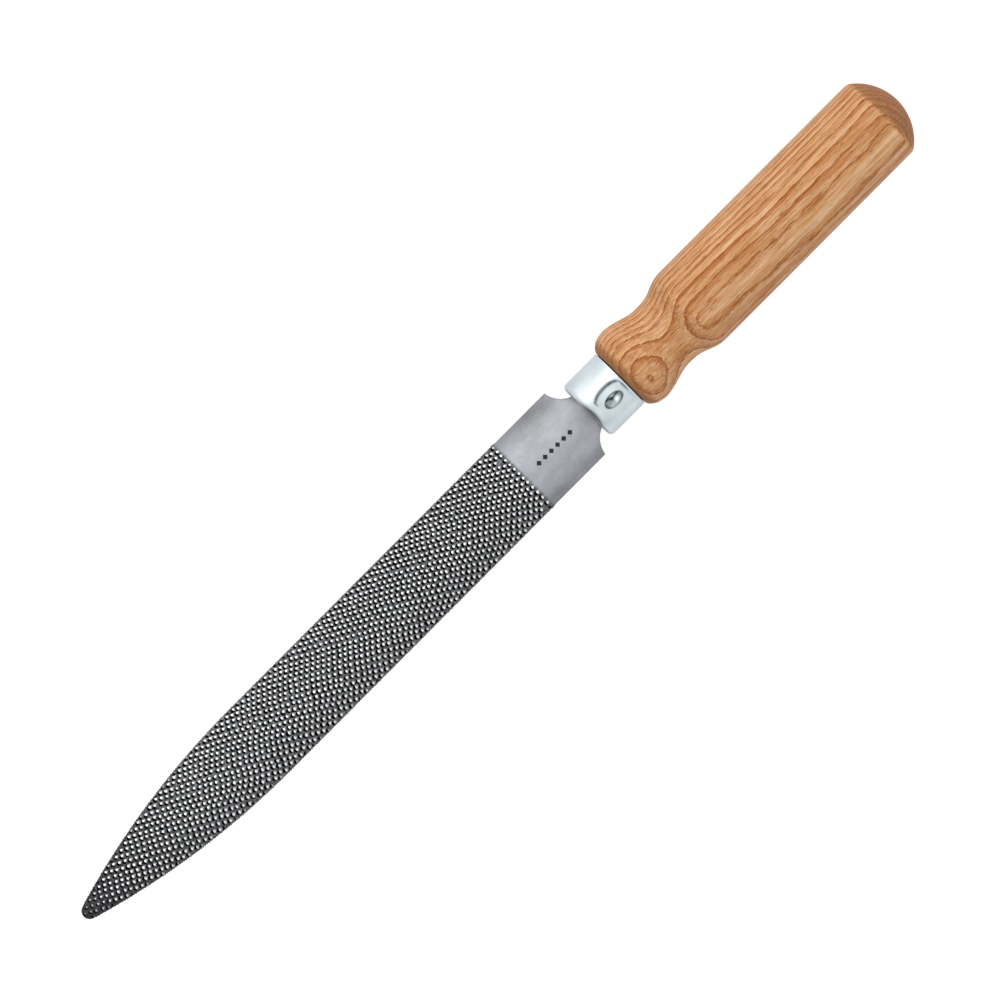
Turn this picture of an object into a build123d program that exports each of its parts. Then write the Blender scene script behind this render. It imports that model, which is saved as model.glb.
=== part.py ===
from build123d import *

import math
import os

# Half-round cabinet rasp with a turned ash handle, as three separate pieces.
#
# rasp_blade  one steel forging: half-round body, concave shoulders, tapered tang
# ferrule     drawn steel cup on the handle's tenon, locked by one punch mark
# handle      turned ash, with the tenon and a tapered socket for the tang
#
# Millimetres. The X axis is the handle's axis and the origin lies near the
# middle of the grip. +X runs along the tool towards the butt, +Z out of the
# half-round face. The flat face of the blade lies in the plane z = FLAT_Z.

# ---------------------------------------------------------------- stations
TIP_X = -285.0  # point of the blade
SHOULDER_X = TIP_X + 200.0  # nominal 200 mm from point to shoulder corner
NECK_X = -80.5  # end of the shoulder arcs, start of the tang
FERRULE_X0 = -80.3  # closed face of the ferrule, towards the blade
FERRULE_X1 = -66.5  # open rim of the ferrule, towards the butt
TANG_END_X = -23.0
SOCKET_END_X = -20.0
BUTT_X = 46.1

# ---------------------------------------------------------------- blade sizes
WIDTH = 24.8  # parallel part of the blade
THICK = 7.0  # flat face to crest
FLAT_Z = -THICK / 2
TIP_R = 2.4  # rounding of the point in plan
TAPER_X = TIP_X + 71.9  # where the sides start to draw in
NECK_ARC_R = 7.64  # concave shoulders
NECK_ARC_X = TIP_X + 207.56
NECK_ARC_Y = 13.3
NECK_HALF_W = NECK_ARC_Y - math.sqrt(NECK_ARC_R**2 - (NECK_X - NECK_ARC_X) ** 2)
NECK_CHAMFER = 0.35  # broken edge where the shoulders meet the back
BLANK_EXTRA = 1.0  # the plan blank stands this far above the crest

# The half-round back: crest height over the flat and radius of the round.
# Both draw down towards the point as a parabola that starts at BACK_X.
BACK_X = TIP_X + 76.0
BACK_R = 15.8
TIP_HEIGHT = 2.0
TIP_BACK_R = 3.4
BACK_ANGLE = 66.0  # half angle of the arc drawn at each station
BACK_STEPS = 8
BACK_OVERRUN = 4.0  # the loft starts this far beyond the point
BACK_BELOW = 12.0  # and reaches this far under the flat

# Tang stations: x, half width, half height, crown over the side
TANG_NECK = (NECK_X, NECK_HALF_W, THICK / 2, BACK_R - math.sqrt(BACK_R**2 - NECK_HALF_W**2))
TANG_MID = (-75.0, 5.45, 2.75, 0.70)
TANG_END = (TANG_END_X, 2.20, 1.40, 0.15)
SOCKET_CLEARANCE = 0.05

# Stamp on the heel: a row of plain diamonds
PIP_COUNT = 6
PIP_X0 = TIP_X + 184.6
PIP_PITCH = 2.5
PIP_Y = -0.7
PIP_SIDE = 1.3
PIP_DEPTH = 0.20
PIP_CUTTER = 2.0  # height of the cutter

# ---------------------------------------------------------------- ferrule sizes
FERRULE_R = 9.9
FERRULE_WALL = 0.9
FERRULE_CORNER = 1.5
BORE_CORNER = FERRULE_CORNER - FERRULE_WALL * 0.7
HOLE_HALF_W = 6.55
HOLE_HALF_H = 3.75
HOLE_CORNER = 0.5
HOLE_LEAD = 2.0  # the hole cutter starts this far before the closed face
HOLE_CUTTER = 5.0  # length of the cutter

# Punch mark that locks the ferrule: a dished flat with a deeper dimple
PUNCH_X = -72.4
PUNCH_TILT = 17.0  # degrees from +Z towards -Y
DISH_DEPTH = 1.1
DISH_R = 11.9
DISH_CUTTER = 40  # length of the dish cutter across the tool
DIMPLE_HALF_L = 3.15  # along the tool
DIMPLE_HALF_W = 2.10  # across it
DIMPLE_DEPTH = 1.30

# ---------------------------------------------------------------- handle sizes
GRIP_R = 13.55
GRIP_X0 = -37.3
DOME_R = 16.4
DOME_FILLET = 3.0
TENON_R = FERRULE_R - FERRULE_WALL

# Turned nose as (x, radius): bulb, waist and the swell into the grip
NOSE = [
    (FERRULE_X1, 10.05), (-65.85, 11.10), (-64.55, 12.20), (-63.25, 12.78),
    (-61.5, 13.12), (-60.4, 13.17), (-58.9, 12.98), (-57.2, 12.62),
    (-55.0, 12.00), (-52.9, 11.40), (-50.8, 11.00), (-49.0, 10.92),
    (-47.0, 11.02), (-45.2, 11.32), (-43.4, 11.90), (-41.7, 12.62),
    (-40.3, 13.12), (-38.9, 13.42), (GRIP_X0, GRIP_R),
]
NOSE_TANGENTS = [(0.55, 1), (1, 0)]  # at the ferrule and at the grip


# ---------------------------------------------------------------- blade
def arched_wire(x, half_width, side_z, top_z, bottom_z):
    """Closed YZ section at x: flat bottom, upright sides, arched top."""
    return Wire([
        ThreePointArc((x, half_width, side_z), (x, 0, top_z), (x, -half_width, side_z)),
        Line((x, -half_width, side_z), (x, -half_width, bottom_z)),
        Line((x, -half_width, bottom_z), (x, half_width, bottom_z)),
        Line((x, half_width, bottom_z), (x, half_width, side_z)),
    ])


def back_section(x):
    """Section of everything under the half-round back at one station."""
    t = max(0.0, (BACK_X - x) / (BACK_X - TIP_X))
    height = THICK - (THICK - TIP_HEIGHT) * t * t
    radius = BACK_R - (BACK_R - TIP_BACK_R) * t * t
    angle = math.radians(BACK_ANGLE)
    top_z = FLAT_Z + height
    side_z = top_z - radius + radius * math.cos(angle)
    return arched_wire(x, radius * math.sin(angle), side_z, top_z, FLAT_Z - BACK_BELOW)


def make_back():
    """Everything under the back, wider than the blade: drawn and even parts."""
    first_x = TIP_X - BACK_OVERRUN
    step = (BACK_X - first_x) / BACK_STEPS
    sections = [back_section(first_x + i * step) for i in range(BACK_STEPS + 1)]
    drawn = Solid.make_loft(sections, False)
    even = Solid.make_loft([back_section(BACK_X), back_section(NECK_X)], True)
    return drawn, even


def mirrored(point):
    """The plan point on the other side of the X axis."""
    return (point[0], -point[1])


def blade_outline():
    """Plan outline of the blade from the point to the neck, as a face."""
    half = WIDTH / 2

    # Each side arc is tangent to the parallel part and to the rounded point.
    tip_x = TIP_X + TIP_R
    side_r = ((TAPER_X - tip_x) ** 2 + half**2 - TIP_R**2) / (2 * (half - TIP_R))
    side_y = half - side_r
    reach = side_r / (side_r - TIP_R)
    touch = (TAPER_X + (tip_x - TAPER_X) * reach, side_y - side_y * reach)
    turn = math.atan2(touch[0] - TAPER_X, touch[1] - side_y) / 2
    side_mid = (TAPER_X + side_r * math.sin(turn), side_y + side_r * math.cos(turn))
    taper = (TAPER_X, half)

    # concave shoulder
    shoulder_run = math.sqrt(NECK_ARC_R**2 - (NECK_ARC_Y - half) ** 2)
    shoulder = (NECK_ARC_X - shoulder_run, half)
    neck = (NECK_X, NECK_HALF_W)
    angles = [math.atan2(y - NECK_ARC_Y, x - NECK_ARC_X) for x, y in (shoulder, neck)]
    mid_angle = sum(angles) / 2
    shoulder_mid = (
        NECK_ARC_X + NECK_ARC_R * math.cos(mid_angle),
        NECK_ARC_Y + NECK_ARC_R * math.sin(mid_angle),
    )

    edges = [
        ThreePointArc(mirrored(touch), (TIP_X, 0.0), touch),
        ThreePointArc(touch, side_mid, taper),
        Line(taper, shoulder),
        ThreePointArc(shoulder, shoulder_mid, neck),
        Line(neck, mirrored(neck)),
        ThreePointArc(mirrored(neck), mirrored(shoulder_mid), mirrored(shoulder)),
        Line(mirrored(shoulder), mirrored(taper)),
        ThreePointArc(mirrored(taper), mirrored(side_mid), mirrored(touch)),
    ]
    return make_face(Wire(edges).edges())


def tang_solid(grow=0.0, end_x=TANG_END_X):
    """Tapered tang, or its socket: grown all round and carried on to end_x."""
    t = (end_x - TANG_MID[0]) / (TANG_END[0] - TANG_MID[0])
    last = tuple(mid + (end - mid) * t for mid, end in zip(TANG_MID, TANG_END))
    sections = []
    for x, half_width, half_height, crown in (TANG_NECK, TANG_MID, last):
        top_z = half_height + grow
        sections.append(arched_wire(x, half_width + grow, top_z - crown, top_z, -top_z))
    return Solid.make_loft(sections, True)


def is_shoulder_edge(edge):
    """True where a concave shoulder meets the half-round back."""
    low, high = edge.bounding_box().min, edge.bounding_box().max
    return (
        low.X > SHOULDER_X - 0.6
        and high.X < NECK_X + 0.01
        and high.X - low.X > 2.0  # leaves out the edges across the neck
        and low.Z > FLAT_Z + 0.5  # leaves out the edges of the flat
        and min(abs(low.Y), abs(high.Y)) > 5.0
    )


def make_blade():
    blank = Pos(0, 0, FLAT_Z) * extrude(blade_outline(), THICK + BLANK_EXTRA)
    drawn, even = make_back()
    body = (blank & drawn) + (blank & even)
    body = body + tang_solid()
    body = chamfer([e for e in body.edges() if is_shoulder_edge(e)], NECK_CHAMFER)
    pip = extrude(Rot(0, 0, 45) * Rectangle(PIP_SIDE, PIP_SIDE), PIP_CUTTER)
    for i in range(PIP_COUNT):
        body = body - Pos(PIP_X0 + i * PIP_PITCH, PIP_Y, THICK / 2 - PIP_DEPTH) * pip
    return body


# ---------------------------------------------------------------- ferrule
def punch_tools(offset):
    """Dish and dimple cutters, grown by offset to mark the inner skin."""
    # at the ferrule's outer skin, with local Z outwards
    at = Pos(PUNCH_X, 0, 0) * Rot(PUNCH_TILT, 0, 0) * Pos(0, 0, FERRULE_R)
    bar = Rot(90, 0, 0) * Cylinder(DISH_R + offset, DISH_CUTTER)
    dish = at * Pos(0, 0, DISH_R - DISH_DEPTH) * bar
    ball = scale(
        Sphere(1.0),
        by=(DIMPLE_HALF_L + offset, DIMPLE_HALF_W + offset, DIMPLE_DEPTH + offset),
    )
    dimple = at * Pos(0, 0, -DISH_DEPTH) * ball
    return dish, dimple


def punched_plug(start_x, radius, corner, punch_offset):
    """Solid plug from start_x to the ferrule's rim, rounded at its start."""
    mid_x = (FERRULE_X1 + start_x) / 2
    plug = Pos(mid_x, 0, 0) * Rot(0, 90, 0) * Cylinder(radius, FERRULE_X1 - start_x)
    plug = fillet(plug.faces().sort_by(Axis.X)[0].edges(), corner)
    dish, dimple = punch_tools(punch_offset)
    return plug - dish - dimple


def make_bore():
    """The space inside the ferrule, which the tenon fills."""
    return punched_plug(FERRULE_X0 + FERRULE_WALL, TENON_R, BORE_CORNER, FERRULE_WALL)


def make_ferrule(bore):
    skin = punched_plug(FERRULE_X0, FERRULE_R, FERRULE_CORNER, 0.0)
    slot = RectangleRounded(2 * HOLE_HALF_H, 2 * HOLE_HALF_W, HOLE_CORNER)
    hole = Pos(FERRULE_X0 - HOLE_LEAD, 0, 0) * Rot(0, 90, 0) * extrude(slot, HOLE_CUTTER)
    return skin - bore - hole


# ---------------------------------------------------------------- handle
def make_handle(bore):
    dome_x = BUTT_X - DOME_R
    meet_x = dome_x + math.sqrt(DOME_R**2 - GRIP_R**2)
    angle = math.atan2(GRIP_R, meet_x - dome_x) / 2
    dome_mid = (dome_x + DOME_R * math.cos(angle), DOME_R * math.sin(angle))
    edges = [
        Line((FERRULE_X1, 0), NOSE[0]),
        Spline(*NOSE, tangents=NOSE_TANGENTS),
        Line((GRIP_X0, GRIP_R), (meet_x, GRIP_R)),
        ThreePointArc((meet_x, GRIP_R), dome_mid, (BUTT_X, 0)),
        Line((BUTT_X, 0), (FERRULE_X1, 0)),
    ]
    body = revolve(make_face(Wire(edges).edges()), Axis.X, 360)

    # soften the rim where the grip meets the domed butt
    rim = [
        e
        for e in body.edges()
        if e.geom_type == GeomType.CIRCLE
        and abs(e.center().X - meet_x) < 0.01
        and abs(e.radius - GRIP_R) < 0.01
    ]
    body = fillet(rim, DOME_FILLET)
    body = body + bore
    return body - tang_solid(SOCKET_CLEARANCE, SOCKET_END_X)


bore = make_bore()
parts = {
    "rasp_blade": make_blade(),
    "ferrule": make_ferrule(bore),
    "handle": make_handle(bore),
}

os.makedirs("parts", exist_ok=True)
for name, shape in parts.items():
    export_step(shape, f"parts/{name}.step")
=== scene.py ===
import math
import random

import bmesh
import bpy
from mathutils import Matrix, Vector
from mathutils.geometry import delaunay_2d_cdt


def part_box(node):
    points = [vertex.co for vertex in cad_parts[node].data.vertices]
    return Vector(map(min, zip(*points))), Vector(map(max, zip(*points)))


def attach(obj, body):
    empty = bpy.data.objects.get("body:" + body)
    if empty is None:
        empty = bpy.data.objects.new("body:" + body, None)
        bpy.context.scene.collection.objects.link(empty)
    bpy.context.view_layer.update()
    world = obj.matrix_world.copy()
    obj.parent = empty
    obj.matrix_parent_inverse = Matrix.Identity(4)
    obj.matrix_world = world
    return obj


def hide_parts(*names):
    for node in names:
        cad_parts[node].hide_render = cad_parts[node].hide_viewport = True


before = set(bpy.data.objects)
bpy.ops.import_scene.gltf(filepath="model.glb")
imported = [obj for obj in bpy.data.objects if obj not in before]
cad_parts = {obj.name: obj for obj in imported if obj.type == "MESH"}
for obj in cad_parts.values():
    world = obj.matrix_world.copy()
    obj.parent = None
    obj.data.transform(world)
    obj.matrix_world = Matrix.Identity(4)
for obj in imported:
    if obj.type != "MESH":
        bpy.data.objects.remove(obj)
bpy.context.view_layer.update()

RNG = random.Random(20411)

# ------------------------------------------------------------------ the frame
# Everything below is in millimetres until a mesh is written in metres.


def box_mm(node):
    lo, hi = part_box(node)
    return [v * 1000 for v in lo], [v * 1000 for v in hi]


(bl, bh), (fl, fh), (hl, hh) = (box_mm(n) for n in ("rasp_blade", "ferrule", "handle"))
TIP, TANG_END = bl[0], bh[0]
FLAT, CREST, HALF = bl[2], bh[2], bh[1]
THICK = CREST - FLAT
FER0, FER1, FER_R = fl[0], fh[0], fh[1]
BUTT, GRIP_R, TENON0 = hh[0], hh[1], hl[0]

TIP_R = 2.4
TAPER = TIP + 71.9
NECK = TIP + 204.5
ARC_R, ARC_X, ARC_Y = 7.64, TIP + 207.56, 13.3
CUT_END = TIP + 178.6
BACK_X = TIP + 76.0
BACK_R, TIP_H, TIP_BACK_R = 15.8, 2.0, 3.4
WALL = 0.9


def new_object(name, bm, material, body, sharp=38.0):
    """A finished piece from a bmesh in millimetres."""
    bmesh.ops.recalc_face_normals(bm, faces=bm.faces)
    me = bpy.data.meshes.new(name)
    bmesh.ops.transform(bm, matrix=Matrix.Scale(0.001, 4), verts=bm.verts)
    for f in bm.faces:
        f.smooth = True
    bm.to_mesh(me)
    bm.free()
    me.set_sharp_from_angle(angle=math.radians(sharp))
    me.materials.append(material)
    ob = bpy.data.objects.new(name, me)
    bpy.context.scene.collection.objects.link(ob)
    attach(ob, body)
    return ob


# ------------------------------------------------------------------ materials
class Nodes:
    """Short hands for building a node tree."""

    def __init__(self, name):
        self.mat = bpy.data.materials.new(name)
        self.mat.use_nodes = True
        self.t = self.mat.node_tree
        self.t.nodes.clear()
        self.out = self.t.nodes.new("ShaderNodeOutputMaterial")

    def add(self, kind, **props):
        n = self.t.nodes.new(kind)
        for k, v in props.items():
            setattr(n, k, v)
        return n

    def put(self, socket, value):
        if isinstance(value, bpy.types.NodeSocket):
            self.t.links.new(value, socket)
        elif value is not None:
            socket.default_value = value

    def math(self, op, a, b=None, c=None, clamp=False):
        n = self.add("ShaderNodeMath", operation=op, use_clamp=clamp)
        for s, v in zip(n.inputs, (a, b, c)):
            self.put(s, v)
        return n.outputs[0]

    def vec(self, op, a, b=None):
        n = self.add("ShaderNodeVectorMath", operation=op)
        self.put(n.inputs[0], a)
        if op == "SCALE":
            self.put(n.inputs["Scale"], b)
        elif b is not None:
            self.put(n.inputs[1], b)
        return n.outputs["Value" if op in ("DOT_PRODUCT", "LENGTH") else 0]

    def mix(self, fac, a, b, blend="MIX"):
        n = self.add("ShaderNodeMix", data_type="RGBA", blend_type=blend)
        self.put(n.inputs["Factor"], fac)
        self.put(n.inputs[6], a)
        self.put(n.inputs[7], b)
        return n.outputs[2]

    def rng(self, v, a, b, c, d, smooth=False, clamp=True):
        n = self.add("ShaderNodeMapRange", clamp=clamp)
        n.interpolation_type = "SMOOTHSTEP" if smooth else "LINEAR"
        for s, x in zip(n.inputs, (v, a, b, c, d)):
            self.put(s, x)
        return n.outputs[0]

    def noise(self, vector, scale, detail=3.0, rough=0.5, distortion=0.0):
        n = self.add("ShaderNodeTexNoise")
        self.put(n.inputs["Vector"], vector)
        n.inputs["Scale"].default_value = scale
        n.inputs["Detail"].default_value = detail
        n.inputs["Roughness"].default_value = rough
        n.inputs["Distortion"].default_value = distortion
        return n.outputs["Fac"]

    def ramp(self, fac, stops, mode="LINEAR"):
        n = self.add("ShaderNodeValToRGB")
        n.color_ramp.interpolation = mode
        e = n.color_ramp.elements
        while len(e) > 1:
            e.remove(e[-1])
        e[0].position, e[0].color = stops[0][0], (*stops[0][1], 1)
        for p, c in stops[1:]:
            x = e.new(p)
            x.color = (*c, 1)
        self.put(n.inputs[0], fac)
        return n.outputs[0]

    def mm(self):
        """Object coordinates in millimetres."""
        return self.vec("SCALE", self.add("ShaderNodeTexCoord").outputs["Object"], 1000.0)

    def stretched(self, mm, x, y, z):
        return self.vec("MULTIPLY", mm, (x, y, z))

    def attr(self, name):
        return self.add("ShaderNodeAttribute", attribute_name=name).outputs["Fac"]

    def bump(self, height, strength, distance, normal=None):
        n = self.add("ShaderNodeBump")
        n.inputs["Strength"].default_value = strength
        n.inputs["Distance"].default_value = distance
        self.put(n.inputs["Height"], height)
        if normal is not None:
            self.put(n.inputs["Normal"], normal)
        return n.outputs[0]

    def principled(self, **inputs):
        n = self.add("ShaderNodeBsdfPrincipled")
        for k, v in inputs.items():
            self.put(n.inputs[k.replace("_", " ")], v)
        self.put(self.out.inputs["Surface"], n.outputs[0])
        return self.mat


def srgb(r, g, b):
    def f(v):
        v /= 255
        return v / 12.92 if v <= 0.04045 else ((v + 0.055) / 1.055) ** 2.4

    return (f(r), f(g), f(b))


def steel_material():
    m = Nodes("punched_steel")
    p = m.mm()
    tooth, pit, heel, tang = (m.attr(a) for a in ("tooth", "pit", "heel", "tang"))
    blotch = m.noise(m.stretched(p, 0.10, 0.16, 0.16), 1.0, 4.0, 0.55)
    fine = m.noise(m.stretched(p, 2.2, 3.2, 3.2), 1.0, 3.0, 0.6)
    lines = m.noise(m.stretched(p, 3.0, 0.30, 0.30), 1.0, 3.0, 0.6)
    # bare heel: satin ground, clouded
    ground = m.mix(
        m.rng(blotch, 0.32, 0.68, 0, 1), (*srgb(162, 162, 164), 1), (*srgb(187, 188, 194), 1)
    )
    ground = m.mix(m.rng(lines, 0.35, 0.7, 0, 0.22), ground, (*srgb(142, 143, 147), 1))
    # painted shade and highlight: the bare heel's ground is darkened towards both edges so its middle reads as a lit
    # satin band
    out = m.math("ABSOLUTE", m.vec("DOT_PRODUCT", p, (0.0, 1.0, 0.0)))
    out = m.rng(out, 6.0, 11.5, 0, 1, smooth=True)
    ground = m.mix(out, ground, (0.76, 0.76, 0.76, 1), "MULTIPLY")
    # toothed skin: as punched and hardened
    grain = m.noise(m.stretched(p, 1.15, 1.7, 1.7), 1.0, 2.0, 0.6)
    skin = m.mix(
        m.rng(grain, 0.36, 0.64, 0, 1), (*srgb(58, 58, 58), 1), (*srgb(138, 138, 139), 1)
    )
    skin = m.mix(m.rng(blotch, 0.3, 0.7, 0, 0.35), skin, (*srgb(84, 84, 86), 1))
    along = m.vec("DOT_PRODUCT", p, (1.0, 0.0, 0.0))
    point = m.rng(along, TIP + 1.0, TIP + 58.0, 1.0, 0.0, smooth=True)
    skin = m.mix(m.math("MULTIPLY", point, 0.80), skin, (*srgb(48, 48, 50), 1))
    base = m.mix(heel, skin, ground)
    # painted highlight, partly the fresh bright steel of the punched teeth: tooth tips go near white, fading towards
    # their tails
    tip_highlight_white = m.mix(
        m.rng(fine, 0.3, 0.75, 0, 1), (*srgb(240, 240, 242), 1), (*srgb(252, 252, 252), 1)
    )
    base = m.mix(m.rng(tooth, 0.26, 0.96, 0, 1), base, tip_highlight_white)
    # painted shadow, partly the dark scale of real pits: tooth pits and the stamped pips go near black
    dark = m.rng(pit, 0.14, 0.50, 0, 1, smooth=True)
    base = m.mix(dark, base, (*srgb(5, 5, 5), 1))
    forged = m.mix(m.rng(fine, 0.3, 0.7, 0, 1), (*srgb(70, 68, 68), 1), (*srgb(98, 95, 93), 1))
    base = m.mix(tang, base, forged)
    rough = m.mix(heel, (0.50,) * 3 + (1,), (0.52,) * 3 + (1,))
    rough = m.math("ADD", rough, m.rng(fine, 0.3, 0.7, -0.06, 0.08))
    rough = m.math("SUBTRACT", rough, m.math("MULTIPLY", tooth, 0.20))
    rough = m.math("ADD", rough, m.math("MULTIPLY", dark, 0.30), clamp=True)
    rough = m.math("ADD", rough, m.math("MULTIPLY", tang, 0.12), clamp=True)
    metal = m.rng(dark, 0.0, 1.0, 1.0, 0.80)
    gloss = m.rng(dark, 0.0, 1.0, 0.5, 0.03)
    height = m.math("ADD", m.math("MULTIPLY", fine, 0.5), m.math("MULTIPLY", lines, 0.25))
    normal = m.bump(height, 0.35, 0.00003)
    return m.principled(
        Base_Color=base, Metallic=metal, Roughness=rough, Normal=normal, Specular_IOR_Level=gloss
    )


def zinc_material():
    m = Nodes("zinc_plate")
    p = m.mm()
    soft = m.noise(m.stretched(p, 0.12, 0.22, 0.22), 1.0, 3.0, 0.5)
    drawn = m.noise(m.stretched(p, 0.35, 5.0, 5.0), 1.0, 3.0, 0.6)
    speck = m.noise(m.stretched(p, 3.5, 3.5, 3.5), 1.0, 2.0, 0.5)
    base = m.mix(
        m.rng(soft, 0.3, 0.7, 0, 1), (*srgb(206, 217, 221), 1), (*srgb(227, 233, 235), 1)
    )
    base = m.mix(m.rng(speck, 0.58, 0.75, 0, 0.14), base, (*srgb(176, 190, 196), 1))
    # painted shade in the press marks: the crease, the dent's end walls, the hole and the mouth next to the neck go
    # dark teal
    mark = m.attr("mark")
    blot = m.noise(m.stretched(p, 0.5, 0.5, 0.5), 1.0, 4.0, 0.6)
    mark = m.math("MULTIPLY", mark, m.rng(blot, 0.32, 0.58, 0.72, 1.0))
    base = m.mix(mark, base, (*srgb(52, 68, 72), 1))
    rough = m.math("ADD", m.rng(soft, 0.3, 0.7, 0.29, 0.36), m.rng(drawn, 0.3, 0.7, 0.0, 0.05))
    rough = m.math("ADD", rough, m.math("MULTIPLY", mark, 0.15))
    height = m.math("ADD", m.math("MULTIPLY", drawn, 0.35), m.math("MULTIPLY", soft, 1.0))
    normal = m.bump(height, 0.30, 0.00003)
    return m.principled(Base_Color=base, Metallic=1.0, Roughness=rough, Normal=normal)


# growth rings: height of each ring's start along the ring normal, and how far its
# dark early wood takes to fade, both in mm
RINGS = [
    (-12.9, 0.9), (-10.9, 0.8), (-9.0, 0.9), (-7.2, 0.8), (-5.2, 1.1), (-2.8, 0.85),
    (-1.0, 0.85), (1.0, 1.05), (3.4, 0.90), (5.3, 0.85), (7.05, 0.90), (9.3, 1.35),
    (11.6, 0.95), (13.09, 0.25),
]
RING_TILT = math.radians(25.2)


def wood_material():
    m = Nodes("turned_ash")
    p = m.mm()
    ct, st = math.cos(RING_TILT), math.sin(RING_TILT)
    up = m.vec("DOT_PRODUCT", p, (0.0, -st, ct))
    side = m.vec("DOT_PRODUCT", p, (0.0, -ct, -st))
    x = m.vec("DOT_PRODUCT", p, (1.0, 0.0, 0.0))
    # the grain leans over a little along the grip and dips at the waist
    lean = m.math("MULTIPLY", m.rng(x, -27.0, -2.0, 0.0, 0.080, smooth=True), 1.0)
    lean = m.math("SUBTRACT", lean, m.rng(x, 20.0, 42.0, 0.0, 0.035, smooth=True))
    h = m.math("ADD", up, m.math("MULTIPLY", lean, side))
    over = m.math("MAXIMUM", side, 0.0)
    bend = m.math("MULTIPLY", m.math("POWER", over, 3.0), 0.0019)
    h = m.math("ADD", h, m.math("MINIMUM", bend, 1.25))
    dip = m.math("MULTIPLY", m.math("ADD", x, 49.0), 1 / 7.0)
    dip = m.math("POWER", 2.718, m.math("MULTIPLY", m.math("MULTIPLY", dip, dip), -1.0))
    h = m.math("SUBTRACT", h, m.math("MULTIPLY", dip, 0.40))
    h = m.math("ADD", h, m.math("MULTIPLY", m.math("ADD", x, 30.0), 0.0010))
    # slow waviness along the grain, and the ragged edge that the pores give a ring
    wave = m.noise(m.stretched(p, 0.045, 0.12, 0.12), 1.0, 2.0, 0.5)
    wave2 = m.noise(m.stretched(p, 0.12, 0.60, 0.60), 1.0, 2.0, 0.5)
    rag = m.noise(m.stretched(p, 0.33, 2.4, 2.4), 1.0, 3.0, 0.7)
    h = m.math("ADD", h, m.rng(wave, 0.25, 0.75, -0.14, 0.14, clamp=False))
    h = m.math("ADD", h, m.rng(wave2, 0.25, 0.75, -0.16, 0.16, clamp=False))
    h = m.math("ADD", h, m.rng(rag, 0.25, 0.75, -0.13, 0.13, clamp=False))
    lo, hi, most = -14.6, 14.6, 7.0
    t = m.rng(h, lo, hi, 0.0, 1.0)
    # how far above the start of its own ring each point lies, in fade lengths
    marks = [(lo, 0.5)] + RINGS + [(hi, 1.0)]
    stops = []
    for (a, fade), (b, _) in zip(marks, marks[1:]):
        stops.append(((a - lo) / (hi - lo) + 0.0006, (0.0,) * 3))
        stops.append(((b - lo) / (hi - lo) - 0.0014, (min(1.0, (b - a) / fade / most),) * 3))
    stops[0] = (0.0, (0.5,) * 3)
    above = m.math("MULTIPLY", m.ramp(t, stops[:32]), most)
    early = m.math("POWER", 2.718, m.math("MULTIPLY", above, -0.80))
    line = m.math("POWER", 2.718, m.math("MULTIPLY", above, -6.0))
    # long fibres, fine streaks and the short dark dashes of cut pores
    fibre = m.noise(m.stretched(p, 0.05, 0.95, 0.95), 1.0, 3.0, 0.6)
    fine = m.noise(m.stretched(p, 0.09, 2.3, 2.3), 1.0, 3.0, 0.65)
    pores = m.noise(m.stretched(p, 0.42, 3.6, 3.6), 1.0, 2.0, 0.6)
    pore = m.rng(pores, 0.53, 0.66, 0.0, 1.0, smooth=True)
    pore = m.math("MULTIPLY", pore, m.rng(early, 0.02, 0.60, 0.22, 1.0))
    pale = m.mix(m.rng(fibre, 0.32, 0.68, 0, 1), (*srgb(208, 154, 102), 1), (*srgb(228, 192, 172), 1))
    dark = m.mix(m.rng(fibre, 0.32, 0.68, 0, 1), (*srgb(154, 80, 8), 1), (*srgb(180, 102, 18), 1))
    col = m.mix(early, pale, dark)
    col = m.mix(m.math("MULTIPLY", line, 0.80), col, (*srgb(122, 56, 6), 1))
    col = m.mix(m.rng(fine, 0.51, 0.70, 0, 0.45), col, (*srgb(240, 208, 200), 1))
    col = m.mix(m.rng(fine, 0.49, 0.32, 0, 0.42), col, (*srgb(160, 96, 42), 1))
    col = m.mix(m.math("MULTIPLY", pore, 0.60), col, (*srgb(124, 68, 26), 1))
    # mostly painted shading, partly the wood's own tone: warmer on the +Y side, greyer and a little darker on the -Y
    # side
    col = m.mix(m.rng(side, -9.0, 9.0, 0.30, 0.0), col, (*srgb(255, 232, 206), 1), "MULTIPLY")
    col = m.mix(m.rng(side, 0.0, 10.0, 0.0, 0.45), col, (*srgb(242, 236, 236), 1), "MULTIPLY")
    col = m.mix(1.0, col, (1.02, 1.01, 0.79, 1), "MULTIPLY")
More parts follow.
